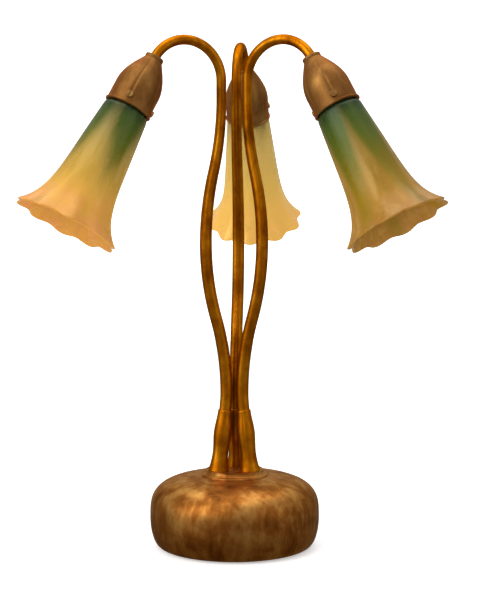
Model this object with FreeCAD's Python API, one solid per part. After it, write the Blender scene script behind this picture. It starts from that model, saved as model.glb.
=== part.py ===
"""Table lamp with three tulip shades on arching stems.

Three bent tubes rise from a cushion-shaped cast base, draw together at a waist, bow
apart, draw together again at a neck, and arch outwards. Each ends in a husk that
holds a socket, a bulb and a downturned tulip-shaped glass shade. A paddle switch and
the inlet for the supply cord are low in the back of the base.

Millimetres and degrees. +Z is up, the origin is on the table under the middle of the
base, and the rear stem leans back, 7 degrees to the +X side of +Y. Each stem and its
head are built once in the XZ plane, with X pointing away from the lamp's middle, and
turned to their places. A head is built along its own axis, which starts at 0 where the
bend of the tube ends.
"""
import FreeCAD
import Part
import math
import os

V = FreeCAD.Vector

# ------------------------------------------------------------------ driving dimensions
STEM_AZIMUTHS = {"left": 207.0, "right": 329.0, "rear": 83.0}

# Base casting
BELLY_RADIUS = 64.3
BELLY_HEIGHT = 23.0
CROWN_HEIGHT = 55.0
FOOT_TUCK = 8.3             # how far the foot is drawn in under the belly
FOOT_GAP = 1.0              # the casting's foot stays this far off the table
CUSHION_POWER = 3.4         # how square the shoulder of the cushion is
BASE_WALL = 3.0
HUB_PAD_RADIUS = 27.0       # thick middle of the crown, inside
HUB_PAD_THICKNESS = 8.0
STEM_BOSS_RADIUS = 7.5
STEM_BOSS_LENGTH = 4.0
POST_RADIUS = 5.0
POST_INSET = 10.0           # from the foot to the middle of a post
POST_AZIMUTHS = (30.0, 150.0, 270.0)

# Root plate, which the three stems stand on
ROOT_PLATE_RADIUS = 25.4
ROOT_PLATE_TOP_RADIUS = 22.0
ROOT_PLATE_THICKNESS = 6.0
ROOT_PLATE_SEAT = 2.0       # depth of its seat in the crown
ROOT_PLATE_EDGE = 2.6

# Underside
FELT_THICKNESS = 2.0
PLATE_THICKNESS = 2.0
PLATE_CLEARANCE = 0.4
PLATE_SCREW_RADIUS = 2.0
PLATE_SCREW_LENGTH = 9.0    # thread in the post
PLATE_SCREW_SPARE = 1.0     # empty hole past the screw
PLATE_SCREW_HEAD_RADIUS = 3.8
PLATE_SCREW_HEAD = 1.4
FELT_HOLE_MARGIN = 1.2
SLOT_WIDTH = 0.8            # of every screwdriver slot

# Ballast and junction block inside the base
BALLAST_GAP = 4.0           # between the ballast disc and the posts
BALLAST_BORE = 8.0
BALLAST_CHAMFER = 1.0
BALLAST_THICKNESS = 13.0
BALLAST_SCREWS = 3
BALLAST_SCREW_RADIUS = 2.5
BALLAST_SCREW_INSET = 6.0
BALLAST_SCREW_AZIMUTH = 60.0
BALLAST_SCREW_HEAD_RADIUS = 4.2
BALLAST_SCREW_HEAD = 2.6
JUNCTION_GAP = 1.8          # between the block and the heads of the ballast screws
JUNCTION_THICKNESS = 10.0
TERMINAL_RADIUS = 1.8
TERMINAL_HEAD = 1.2
TERMINAL_CIRCLE = 11.0
TERMINAL_SPACING = 7.2
JUNCTION_SCREW_RADIUS = 2.0
JUNCTION_SCREW_HEAD_RADIUS = 3.6
JUNCTION_SCREW_HEAD = 2.2

# Stem tubes
TUBE_RADIUS = 4.6           # up to the bulge
TUBE_TIP_RADIUS = 3.75      # from the neck on
TUBE_BORE = 2.7
ROOT_LEAN = 7.0
ROOT_BEND_RADIUS = 90.0
WAIST_RADIUS = 7.0          # from the lamp's middle to the tube's centreline
WAIST_HEIGHT = 118.0
BULGE_RADIUS = 24.0
BULGE_SHARE = 0.516         # of the way up from the waist to the neck
NECK_RADIUS = 11.0
NECK_RISE = 14.5            # straight tube from the neck to the arch
ARCH_RADIUS = 29.0
APEX_HEIGHT = 380.5
HEAD_TILT = 30.0            # shade's axis, from the vertical
TUBE_TAIL = 11.0            # straight tube past the bend, inside the husk
TUBE_FOOT = 7.0             # tube left below the locknut's seat
FIT_CLEARANCE = 0.08
THREAD_CLEARANCE = 0.02     # between a screw thread and the thread it turns in

# Root cups, locknuts and washers
CUP_FOOT_RADIUS = 7.8
CUP_NECK_RADIUS = 6.0
CUP_NECK_RISE = 14.0
CUP_BELLY_RADIUS = 6.8
CUP_BELLY_RISE = 28.0
CUP_HEIGHT = 46.0
CUP_RIM = 0.7
LOCKNUT_WIDTH = 12.6
LOCKNUT_HEIGHT = 4.0
WASHER_RADIUS = 7.4
WASHER_THICKNESS = 1.0

# Lamp wire inside each stem
WIRE_RADIUS = 1.8

# Husk
HUSK_COLLAR_RADIUS = 7.0
HUSK_COLLAR_LENGTH = 3.0
HUSK_COLLAR_REACH = 1.0     # how far the collar reaches up over the bend
HUSK_MOUTH_RADIUS = 17.0
HUSK_LENGTH = 41.0          # from the collar's lower end to the mouth
HUSK_SWELL_SHARE = 0.61     # share of that length over which it widens
HUSK_WALL = 1.4
HUSK_FLOOR = 2.4
HUSK_LIP = 0.9
HUSK_NUT_WIDTH = 10.4
HUSK_NUT_HEIGHT = 2.6

# Socket
CAP_HEIGHT = 9.0
CAP_FUNNEL = 0.6            # share of the cap that widens
CAP_WALL = 1.0
SOCKET_RADIUS = 9.6
SOCKET_HEIGHT = 19.0
SOCKET_FLOOR = 3.0
SHELL_RADIUS = 6.8
SHELL_WALL = 0.4
CONTACT_RADIUS = 2.2
CONTACT_HEIGHT = 1.2

# Bulb
BULB_CAP_RADIUS = 6.0
BULB_CAP_LENGTH = 15.0
BULB_TIP_RADIUS = 2.4
BULB_TIP_HEIGHT = 2.0
BULB_NECK_RADIUS = 5.4
BULB_RADIUS = 10.2
BULB_LENGTH = 46.0
BULB_SWELL = 23.0           # length of glass over which the bulb widens
BULB_WALL = 0.7
MOUNT_RADIUS = 1.6
MOUNT_LENGTH = 16.0
FILAMENT_RADIUS = 4.0
FILAMENT_WIRE = 0.35

# Shade
SHADE_LENGTH = 91.5         # from the shoulder to the rim
SHADE_SHOULDER_RADIUS = 17.2
SHADE_TAPER = 9.5           # steady widening from the shoulder to the rim
SHADE_FLARE = 13.7          # further widening close to the rim
SHADE_FLARE_POWER = 7.0
SHADE_WALL = 2.0
SHADE_SHOULDER = 4.5        # from the husk's mouth to the full shoulder
SHADE_NECK_RISE = 2.0       # how far the neck reaches up past the husk's full width
SHADE_LIP = 0.6
SHADE_LIP_HEIGHT = 2.4
SHADE_CLEARANCE = 0.3
SHADE_PETALS = 10
SHADE_WAVE = 2.4            # depth of the scallops, seen along the shade's axis
SHADE_SCREWS = 3
SHADE_SCREW_RADIUS = 1.5
SHADE_SCREW_HEAD_RADIUS = 2.5
SHADE_SCREW_HEAD = 1.8
SHADE_SCREW_SETBACK = 6.5   # from the husk's mouth

# Back of the base: cord inlet and paddle switch
INLET_AZIMUTH = 74.0
SWITCH_AZIMUTH = 106.0
FITTING_HEIGHT = 19.0
FITTING_INSET = 1.9         # depth of the flat faces outside, at the belly
FITTING_WALL = 4.0          # thickness of the wall between its flat faces
FITTING_PAD_RADIUS = 10.5
INLET_BORE = 3.6
INLET_RADIUS = 5.5
INLET_FLANGE_RADIUS = 7.5
INLET_FLANGE = 2.5
INLET_NUT_WIDTH = 14.0
INLET_NUT_HEIGHT = 3.0
INLET_TAIL = 2.0
SWITCH_BUSH_RADIUS = 4.5
SWITCH_SHAFT_RADIUS = 1.6
SWITCH_SHAFT_CLEARANCE = 0.06
SWITCH_BUSH_STICKOUT = 5.5
RING_NUT_RADIUS = 6.8
RING_NUT_HEIGHT = 2.6
SWITCH_BODY_RADIUS = 9.5
SWITCH_BODY_LENGTH = 17.0
SWITCH_BODY_WALL = 2.0
ROTOR_RADIUS = 6.6
ROTOR_THICKNESS = 5.0
ROTOR_GAP = 0.6
PADDLE_GAP = 0.6
PADDLE_LENGTH = 20.0
PADDLE_HEIGHT = 10.0
PADDLE_THICKNESS = 3.0
PADDLE_HUB_RADIUS = 3.4
PADDLE_HUB_LENGTH = 5.0
PADDLE_HUB_CAP = 1.0        # hub left past the end of the shaft
LEAD_RADIUS = 1.3
LEAD_SPACING = 5.2

# ---------------------------------------------------------------- places worked out
FOOT_RADIUS = BELLY_RADIUS - FOOT_TUCK
POST_CIRCLE = FOOT_RADIUS - POST_INSET
PLATE_TOP = FELT_THICKNESS + PLATE_THICKNESS
BALLAST_RADIUS = POST_CIRCLE - POST_RADIUS - BALLAST_GAP
BALLAST_SCREW_CIRCLE = BALLAST_RADIUS - BALLAST_SCREW_INSET
JUNCTION_RADIUS = BALLAST_SCREW_CIRCLE - BALLAST_SCREW_HEAD_RADIUS - JUNCTION_GAP
BALLAST_TOP = PLATE_TOP + BALLAST_THICKNESS
JUNCTION_TOP = BALLAST_TOP + JUNCTION_THICKNESS
ROOT_SEAT = CROWN_HEIGHT - ROOT_PLATE_SEAT
ROOT_TOP = ROOT_SEAT + ROOT_PLATE_THICKNESS
HUB_PAD_FACE = CROWN_HEIGHT - HUB_PAD_THICKNESS
ARCH_HEIGHT = APEX_HEIGHT - ARCH_RADIUS
NECK_HEIGHT = ARCH_HEIGHT - NECK_RISE
BULGE_HEIGHT = WAIST_HEIGHT + BULGE_SHARE * (NECK_HEIGHT - WAIST_HEIGHT)
FITTING_FACE = BELLY_RADIUS - FITTING_INSET

HUSK_TOP = -HUSK_COLLAR_REACH
HUSK_SHOULDER = HUSK_TOP + HUSK_COLLAR_LENGTH
HUSK_FULL = HUSK_SHOULDER + HUSK_SWELL_SHARE * HUSK_LENGTH
HUSK_MOUTH = HUSK_SHOULDER + HUSK_LENGTH
HUSK_SEAT = HUSK_SHOULDER + HUSK_FLOOR
CAP_TOP = HUSK_SEAT + HUSK_NUT_HEIGHT
SOCKET_TOP = CAP_TOP + CAP_HEIGHT
SOCKET_SEAT = SOCKET_TOP + SOCKET_FLOOR
SOCKET_END = SOCKET_TOP + SOCKET_HEIGHT
BULB_SEAT = SOCKET_SEAT + CONTACT_HEIGHT
BULB_CAP_END = BULB_SEAT + BULB_CAP_LENGTH
SHADE_LIP_RADIUS = HUSK_MOUTH_RADIUS - HUSK_WALL - SHADE_CLEARANCE
SHADE_NECK_RADIUS = SHADE_LIP_RADIUS - SHADE_LIP
SHADE_TOP = HUSK_FULL - SHADE_NECK_RISE
SHADE_START = HUSK_MOUTH + SHADE_SHOULDER
SHADE_RIM_RADIUS = SHADE_SHOULDER_RADIUS + SHADE_TAPER + SHADE_FLARE


# ------------------------------------------------------------------------- geometry
def line(a, b):
    return Part.makeLine(V(a[0], 0, a[1]), V(b[0], 0, b[1]))


def arc(a, middle, b):
    return Part.Arc(V(a[0], 0, a[1]), V(middle[0], 0, middle[1]), V(b[0], 0, b[1])).toShape()


def curve(points):
    spline = Part.BSplineCurve()
    spline.interpolate([V(r, 0, z) for r, z in points])
    return spline.toShape()


def turned(edges):
    """The solid that a closed outline in the XZ plane makes when it turns about Z."""
    face = Part.Face(Part.Wire(Part.sortEdges(edges)[0]))
    return face.revolve(V(0, 0, 0), V(0, 0, 1), 360)


def turned_polygon(points):
    """The solid of revolution of a straight-sided outline."""
    ends = points[1:] + points[:1]
    return turned([line(a, b) for a, b in zip(points, ends)])


def cylinder(radius, low, high):
    return Part.makeCylinder(radius, high - low, V(0, 0, low))


def ring(bore, radius, low, high):
    return cylinder(radius, low, high).cut(cylinder(bore, low, high))


def hexagon(width, low, high):
    corner = width / math.sqrt(3)
    points = [V(corner * math.cos(math.radians(a)), corner * math.sin(math.radians(a)), low)
              for a in range(0, 361, 60)]
    return Part.Face(Part.makePolygon(points)).extrude(V(0, 0, high - low))


def hex_nut(width, bore, low, high):
    return hexagon(width, low, high).cut(cylinder(bore, low, high))


def slot(head_radius, depth, low):
    """The cut of a screwdriver slot across a head."""
    return Part.makeBox(2 * head_radius, SLOT_WIDTH, depth, V(-head_radius, -SLOT_WIDTH / 2, low))


def steps(count, low=0.0, high=1.0):
    return [low + (high - low) * i / count for i in range(count + 1)]


def inset(outline, t, wall):
    """The point one wall inside an outline that is a function of t, along its normal."""
    nudge = 1e-4
    r0, z0 = outline(t - nudge)
    r1, z1 = outline(t + nudge)
    length = math.hypot(r1 - r0, z1 - z0)
    r, z = outline(t)
    return r - wall * (z1 - z0) / length, z + wall * (r1 - r0) / length


def about_z(shape, azimuth):
    return shape.copy().rotate(V(0, 0, 0), V(0, 0, 1), azimuth)


def laid_along(shape, origin, lean):
    """Turns +Z by lean towards +X, and moves the origin."""
    moved = shape.copy().rotate(V(0, 0, 0), V(0, 1, 0), lean)
    moved.translate(origin)
    return moved


def around(shape, count):
    """Copies of a shape at equal steps about Z."""
    return [about_z(shape, 360.0 * i / count) for i in range(count)]


def export(name, *shapes):
    solids = [s for shape in shapes for s in shape.Solids]
    whole = solids[0] if len(solids) == 1 else Part.makeCompound(solids)
    whole.exportStep(os.path.join("parts", name + ".step"))


# ------------------------------------------------------------------- stem centreline
def stem_bends():
    """Where the root bend ends, and the lean of the straight root below it."""
    lean = math.radians(ROOT_LEAN)
    top = V(WAIST_RADIUS + ROOT_BEND_RADIUS * (1 - math.cos(lean)), 0,
            WAIST_HEIGHT - ROOT_BEND_RADIUS * math.sin(lean))
    return top, V(math.sin(lean), 0, -math.cos(lean))


def root_point(height):
    """The point of the straight root at a height."""
    top, down = stem_bends()
    return top + down * ((top.z - height) / -down.z)


def swing(low, high):
    """Two equal arcs from one vertical to another, as a pair of edges."""
    rise, shift = high[1] - low[1], high[0] - low[0]
    turn = 2 * math.atan(shift / rise)
    radius = rise / (2 * math.sin(turn))
    middle = ((low[0] + high[0]) / 2, (low[1] + high[1]) / 2)
    half_shift = radius * (1 - math.cos(turn / 2))
    half_rise = radius * math.sin(turn / 2)
    return [arc(low, (low[0] + half_shift, low[1] + half_rise), middle),
            arc(middle, (high[0] - half_shift, high[1] - half_rise), high)]


def arch_point(angle):
    a = math.radians(angle)
    return (NECK_RADIUS + ARCH_RADIUS + ARCH_RADIUS * math.cos(a),
            ARCH_HEIGHT + ARCH_RADIUS * math.sin(a))


def head_end():
    r, z = arch_point(HEAD_TILT)
    return V(r, 0, z)


def head_axis():
    tilt = math.radians(HEAD_TILT)
    return V(math.sin(tilt), 0, -math.cos(tilt))


def centreline(foot, tail):
    """The stem's path from a foot point on the straight root to a tail past the bend."""
    bend_top, _ = stem_bends()
    lean = math.radians(ROOT_LEAN / 2)
    bend_middle = (WAIST_RADIUS + ROOT_BEND_RADIUS * (1 - math.cos(lean)),
                   WAIST_HEIGHT - ROOT_BEND_RADIUS * math.sin(lean))
    waist, bulge = (WAIST_RADIUS, WAIST_HEIGHT), (BULGE_RADIUS, BULGE_HEIGHT)
    neck, spring = (NECK_RADIUS, NECK_HEIGHT), (NECK_RADIUS, ARCH_HEIGHT)
    quarter = (180 + HEAD_TILT) / 2
    end = head_end()
    return Part.Wire([
        Part.makeLine(foot, bend_top),
        arc((bend_top.x, bend_top.z), bend_middle, waist),
        *swing(waist, bulge),
        *swing(bulge, neck),
        line(neck, spring),
        arc(spring, arch_point((180 + quarter) / 2), arch_point(quarter)),
        arc(arch_point(quarter), arch_point((quarter + HEAD_TILT) / 2), (end.x, end.z)),
        Part.makeLine(end, end + head_axis() * tail)])


def split_at_bulge_and_neck(path):
    """The centreline's edges below the bulge, from there to the neck, and above the neck."""
    edges = path.Edges
    return edges[:4], edges[4:6], edges[6:]


def section(edge, at, radius):
    """A circle across a path's edge."""
    return Part.Wire(Part.makeCircle(radius, edge.valueAt(at), edge.tangentAt(at)))


def pipe(path, radius):
    start = path.Edges[0]
    return path.makePipeShell([section(start, start.FirstParameter, radius)], True, False)


def tapered_pipe(path, radius, end_radius):
    start, end = path.Edges[0], path.Edges[-1]
    return path.makePipeShell([section(start, start.FirstParameter, radius),
                               section(end, end.LastParameter, end_radius)], True, False)


# ----------------------------------------------------------------------------- base
def cushion(t):
    """The base's outer outline: t from -1 at the foot, 0 at the belly, to 1 at the crown."""
    if t < 0:
        drop = math.sin(math.radians(-90 * t))
        shrink = 1 - math.cos(math.radians(-90 * t))
        return (BELLY_RADIUS - FOOT_TUCK * shrink,
                BELLY_HEIGHT - (BELLY_HEIGHT - FOOT_GAP) * drop)
    share = 2 / CUSHION_POWER
    a = math.radians(90 * t)
    return (BELLY_RADIUS * max(math.cos(a), 0.0) ** share,
            BELLY_HEIGHT + (CROWN_HEIGHT - BELLY_HEIGHT) * math.sin(a) ** share)


def cushion_solid(wall, bottom):
    """The cushion, or its hollow one wall inside, closed by a flat face at the bottom."""
    def at(t):
        return inset(cushion, t, wall) if wall else cushion(t)
    below = [at(t) for t in steps(6, -0.97, -0.08)]
    above = [at(t) for t in steps(14, 0.04, 0.97)]
    foot = (below[0][0], bottom)
    top = (0.0, CROWN_HEIGHT - wall)
    side = curve(below + [(BELLY_RADIUS - wall, BELLY_HEIGHT)] + above + [top])
    return turned([line((0.0, bottom), foot), line(foot, below[0]), side,
                   line(top, (0.0, bottom))])


def in_root_frame(shape):
    """Places a shape built along Z on a stem's straight root, with z = 0 on the root plate."""
    return laid_along(shape, root_point(ROOT_TOP), -ROOT_LEAN)


def boss_face():
    """Distance along the root from the plate's top down to the face of the stem's boss."""
    return (HUB_PAD_FACE - ROOT_TOP) / math.cos(math.radians(ROOT_LEAN)) - STEM_BOSS_LENGTH


def from_the_back(shape, azimuth):
    """Lays a shape built along Z outwards, with z = 0 on the flat face outside the wall."""
    return about_z(laid_along(shape, V(FITTING_FACE, 0, FITTING_HEIGHT), 90), azimuth)


def base_shell_solid():
    """Hollow cushion with stem bosses, plate posts and pads for the fittings at the back."""
    outer = cushion_solid(0, FOOT_GAP)
    shell = outer.cut(cushion_solid(BASE_WALL, FOOT_GAP))
    shell = shell.fuse([lump.common(outer) for lump in base_lumps()])
    for opening in base_openings():
        shell = shell.cut(opening)
    return shell.removeSplitter()


def base_lumps():
    """What thickens the casting inside."""
    boss = in_root_frame(cylinder(STEM_BOSS_RADIUS, boss_face(), 0))
    boss = boss.common(cylinder(BELLY_RADIUS, PLATE_TOP, CROWN_HEIGHT))
    post = cylinder(POST_RADIUS, PLATE_TOP, CROWN_HEIGHT)
    post.translate(V(POST_CIRCLE, 0, 0))
    pad = cylinder(FITTING_PAD_RADIUS, -FITTING_WALL, FITTING_INSET)
    return [cylinder(HUB_PAD_RADIUS, HUB_PAD_FACE, CROWN_HEIGHT),
            *[about_z(boss, a) for a in STEM_AZIMUTHS.values()],
            *[about_z(post, a) for a in POST_AZIMUTHS],
            *[from_the_back(pad, a) for a in (INLET_AZIMUTH, SWITCH_AZIMUTH)]]


def base_openings():
    """What is cut from the casting: the plate's seat, holes, and flat faces round fittings."""
    stem_hole = in_root_frame(cylinder(TUBE_RADIUS + FIT_CLEARANCE, 2 * boss_face(), CROWN_HEIGHT))
    screw_hole = cylinder(PLATE_SCREW_RADIUS + THREAD_CLEARANCE, 0,
                          PLATE_TOP + PLATE_SCREW_LENGTH + PLATE_SCREW_SPARE)
    screw_hole.translate(V(POST_CIRCLE, 0, 0))
    openings = [cylinder(ROOT_PLATE_RADIUS, ROOT_SEAT, 2 * CROWN_HEIGHT),
                *[about_z(stem_hole, a) for a in STEM_AZIMUTHS.values()],
                *[about_z(screw_hole, a) for a in POST_AZIMUTHS]]
    for azimuth, hole, face in ((INLET_AZIMUTH, INLET_RADIUS, INLET_FLANGE_RADIUS),
                                (SWITCH_AZIMUTH, SWITCH_BUSH_RADIUS, RING_NUT_RADIUS)):
        through = cylinder(hole + FIT_CLEARANCE, -2 * FITTING_WALL, FITTING_WALL)
        outside = cylinder(face + PLATE_CLEARANCE, 0, FITTING_WALL)
        openings += [from_the_back(through, azimuth), from_the_back(outside, azimuth)]
    return openings


def root_plate_solid():
    """Low round mound with a hollow-curved edge, bored for the three stems."""
    edge = ROOT_SEAT + ROOT_PLATE_EDGE
    hollow = (ROOT_PLATE_TOP_RADIUS + (ROOT_PLATE_RADIUS - ROOT_PLATE_TOP_RADIUS) * 0.35,
              edge + (ROOT_TOP - edge) * 0.35)
    plate = turned([
        line((0, ROOT_SEAT), (ROOT_PLATE_RADIUS, ROOT_SEAT)),
        line((ROOT_PLATE_RADIUS, ROOT_SEAT), (ROOT_PLATE_RADIUS, edge)),
        arc((ROOT_PLATE_RADIUS, edge), hollow, (ROOT_PLATE_TOP_RADIUS, ROOT_TOP)),
        line((ROOT_PLATE_TOP_RADIUS, ROOT_TOP), (0, ROOT_TOP)),
        line((0, ROOT_TOP), (0, ROOT_SEAT))])
    hole = in_root_frame(cylinder(TUBE_RADIUS + FIT_CLEARANCE, -CROWN_HEIGHT, CROWN_HEIGHT))
    for azimuth in STEM_AZIMUTHS.values():
        plate = plate.cut(about_z(hole, azimuth))
    return plate


def underside():
    """Base plate, felt, and the screws that hold the plate to the posts."""
    plate_radius = FOOT_RADIUS - BASE_WALL - PLATE_CLEARANCE
    plate = cylinder(plate_radius, FELT_THICKNESS, PLATE_TOP)
    felt = cylinder(plate_radius, 0, FELT_THICKNESS)
    screws = []
    for azimuth in POST_AZIMUTHS:
        shank = cylinder(PLATE_SCREW_RADIUS, FELT_THICKNESS, PLATE_TOP + PLATE_SCREW_LENGTH)
        head = cylinder(PLATE_SCREW_HEAD_RADIUS, FELT_THICKNESS - PLATE_SCREW_HEAD, FELT_THICKNESS)
        screw = shank.fuse(head).removeSplitter().cut(
            slot(PLATE_SCREW_HEAD_RADIUS, PLATE_SCREW_HEAD / 2, FELT_THICKNESS - PLATE_SCREW_HEAD))
        hole = cylinder(PLATE_SCREW_RADIUS + FIT_CLEARANCE, 0, PLATE_TOP)
        access = cylinder(PLATE_SCREW_HEAD_RADIUS + FELT_HOLE_MARGIN, 0, FELT_THICKNESS)
        for shape in (screw, hole, access):
            shape.translate(V(POST_CIRCLE, 0, 0))
        screws.append(about_z(screw, azimuth))
        plate = plate.cut(about_z(hole, azimuth))
        felt = felt.cut(about_z(access, azimuth))
    return plate, felt, screws


def ballast():
    """Ballast disc, and the cap screws that hold it to the base plate."""
    disc = ring(BALLAST_BORE, BALLAST_RADIUS, PLATE_TOP, BALLAST_TOP)
    rims = [e for e in disc.Edges if e.Closed and e.Curve.Radius == BALLAST_RADIUS]
    disc = disc.makeChamfer(BALLAST_CHAMFER, rims)
    screw = cylinder(BALLAST_SCREW_RADIUS, FELT_THICKNESS, BALLAST_TOP)
    screw = screw.fuse(cylinder(BALLAST_SCREW_HEAD_RADIUS, BALLAST_TOP,
                                BALLAST_TOP + BALLAST_SCREW_HEAD)).removeSplitter()
    key_width = BALLAST_SCREW_HEAD_RADIUS
    screw = screw.cut(hexagon(key_width, BALLAST_TOP + BALLAST_SCREW_HEAD / 2,
                              BALLAST_TOP + BALLAST_SCREW_HEAD))
    hole = cylinder(BALLAST_SCREW_RADIUS + FIT_CLEARANCE, 0, BALLAST_TOP)
    for shape in (screw, hole):
        shape.translate(V(BALLAST_SCREW_CIRCLE, 0, 0))
        shape.rotate(V(0, 0, 0), V(0, 0, 1), BALLAST_SCREW_AZIMUTH)
    return disc, screw, hole


def junction():
    """Porcelain junction block, its six terminal screws, and the screw that fixes it."""
    block = cylinder(JUNCTION_RADIUS, BALLAST_TOP, JUNCTION_TOP)
    fixing = cylinder(JUNCTION_SCREW_RADIUS, PLATE_TOP, JUNCTION_TOP)
    fixing = fixing.fuse(cylinder(JUNCTION_SCREW_HEAD_RADIUS, JUNCTION_TOP,
                                  JUNCTION_TOP + JUNCTION_SCREW_HEAD)).removeSplitter()
    fixing = fixing.cut(slot(JUNCTION_SCREW_HEAD_RADIUS, JUNCTION_SCREW_HEAD / 2,
                             JUNCTION_TOP + JUNCTION_SCREW_HEAD / 2))
    block = block.cut(cylinder(JUNCTION_SCREW_RADIUS + FIT_CLEARANCE, BALLAST_TOP, JUNCTION_TOP))
    terminals = []
    for azimuth in STEM_AZIMUTHS.values():
        for side in (-1, 1):
            screw = cylinder(TERMINAL_RADIUS, JUNCTION_TOP, JUNCTION_TOP + TERMINAL_HEAD)
            screw.translate(V(TERMINAL_CIRCLE, side * TERMINAL_SPACING / 2, 0))
            terminals.append(about_z(screw, azimuth))
    return block, fixing, terminals


# ---------------------------------------------------------------------------- stems
def stem_solids():
    """One stem tube, its root cup, washer, locknut and wire, in the XZ plane."""
    foot = root_point(ROOT_TOP) + stem_bends()[1] * (
        -boss_face() + WASHER_THICKNESS + LOCKNUT_HEIGHT + TUBE_FOOT)
    path = centreline(foot, TUBE_TAIL)
    below, narrowing, above = (Part.Wire(edges) for edges in split_at_bulge_and_neck(path))
    tube = pipe(below, TUBE_RADIUS).fuse([tapered_pipe(narrowing, TUBE_RADIUS, TUBE_TIP_RADIUS),
                                          pipe(above, TUBE_TIP_RADIUS)])
    tube = tube.cut(pipe(path, TUBE_BORE))
    wire = pipe(centreline(root_point(BALLAST_TOP), SOCKET_TOP), WIRE_RADIUS)
    wire = wire.cut(Part.makeBox(4 * BELLY_RADIUS, 4 * BELLY_RADIUS, JUNCTION_TOP,
                                 V(-2 * BELLY_RADIUS, -2 * BELLY_RADIUS, 0)))
    seat = boss_face()
    washer = in_root_frame(ring(TUBE_RADIUS + FIT_CLEARANCE, WASHER_RADIUS,
                                seat - WASHER_THICKNESS, seat))
    nut_low = seat - WASHER_THICKNESS - LOCKNUT_HEIGHT
    nut = in_root_frame(hex_nut(LOCKNUT_WIDTH, TUBE_RADIUS + THREAD_CLEARANCE,
                                nut_low, seat - WASHER_THICKNESS))
    return tube, wire, washer, nut


def eased(start, end, share):
    """A smooth step from start to end."""
    return start + (end - start) * (1 - math.cos(math.pi * share)) / 2


def cup_outline(t):
    """The root cup's outline, from 0 at its flared foot, past neck and belly, to 1 at its top."""
    height = t * CUP_HEIGHT
    if height < CUP_NECK_RISE:
        share = 1 - height / CUP_NECK_RISE
        return CUP_NECK_RADIUS + (CUP_FOOT_RADIUS - CUP_NECK_RADIUS) * share ** 2, height
    if height < CUP_BELLY_RISE:
        share = (height - CUP_NECK_RISE) / (CUP_BELLY_RISE - CUP_NECK_RISE)
        return eased(CUP_NECK_RADIUS, CUP_BELLY_RADIUS, share), height
    share = (height - CUP_BELLY_RISE) / (CUP_HEIGHT - CUP_BELLY_RISE)
    return eased(CUP_BELLY_RADIUS, TUBE_RADIUS + CUP_RIM, share), height


def root_cup_solid():
    """A bud-shaped bush round the foot of a stem, whose foot is cut to sit on the root plate."""
    points = [cup_outline(t) for t in steps(16)]
    bottom = -CUP_RIM
    bore = TUBE_RADIUS + FIT_CLEARANCE
    foot = CUP_FOOT_RADIUS
    cup = turned([
        line((bore, bottom), (foot, bottom)),
        line((foot, bottom), points[0]),
        curve(points),
        line(points[-1], (bore, CUP_HEIGHT)),
        line((bore, CUP_HEIGHT), (bore, bottom))])
    below = cylinder(BELLY_RADIUS, 0, ROOT_TOP)
    return in_root_frame(cup).cut(below)


# ---------------------------------------------------------------------------- heads
def husk_outline(t):
    """The husk below its collar: t from 0 at the collar to 1 at full width."""
    share = math.sin(math.radians(90 * t))
    return (HUSK_COLLAR_RADIUS + (HUSK_MOUTH_RADIUS - HUSK_COLLAR_RADIUS) * share,
            HUSK_SHOULDER + (HUSK_FULL - HUSK_SHOULDER) * t)


def husk_solid():
    mouth = HUSK_MOUTH_RADIUS
    lip_low = HUSK_MOUTH - 2 * HUSK_LIP
    outer = turned([
        line((0, HUSK_TOP), (HUSK_COLLAR_RADIUS, HUSK_TOP)),
        line((HUSK_COLLAR_RADIUS, HUSK_TOP), (HUSK_COLLAR_RADIUS, HUSK_SHOULDER)),
        curve([husk_outline(t) for t in steps(8)]),
        line((mouth, HUSK_FULL), (mouth, lip_low)),
        arc((mouth, lip_low), (mouth + HUSK_LIP, lip_low + HUSK_LIP), (mouth, HUSK_MOUTH)),
        line((mouth, HUSK_MOUTH), (0, HUSK_MOUTH)),
        line((0, HUSK_MOUTH), (0, HUSK_TOP))])
    inner_radius = mouth - HUSK_WALL
    inner = [inset(husk_outline, t, HUSK_WALL) for t in steps(8, 0.1, 0.98)]
    hollow = turned([
        line((0, inner[0][1]), inner[0]),
        curve(inner + [(inner_radius, HUSK_FULL + HUSK_WALL)]),
        line((inner_radius, HUSK_FULL + HUSK_WALL), (inner_radius, HUSK_MOUTH)),
        line((inner_radius, HUSK_MOUTH), (0, HUSK_MOUTH)),
        line((0, HUSK_MOUTH), (0, inner[0][1]))])
    hollow = hollow.cut(cylinder(mouth, HUSK_TOP, HUSK_SEAT))
    hollow = hollow.fuse(cylinder(HUSK_NUT_WIDTH / math.sqrt(3) + SHADE_CLEARANCE,
                                  HUSK_SEAT, HUSK_SEAT + HUSK_NUT_HEIGHT))
    husk = outer.cut(hollow)
    husk = husk.cut(cylinder(TUBE_TIP_RADIUS + FIT_CLEARANCE, HUSK_TOP, HUSK_MOUTH))
    for hole in around(screw_bore(), SHADE_SCREWS):
        husk = husk.cut(hole)
    return husk


def across_head(shape, level):
    """Lays a shape built along Z outwards from the head's axis at a level."""
    return laid_along(shape, V(0, 0, level), 90)


def screw_bore():
    return across_head(cylinder(SHADE_SCREW_RADIUS + THREAD_CLEARANCE, SHADE_NECK_RADIUS,
                                2 * HUSK_MOUTH_RADIUS), HUSK_MOUTH - SHADE_SCREW_SETBACK)


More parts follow.
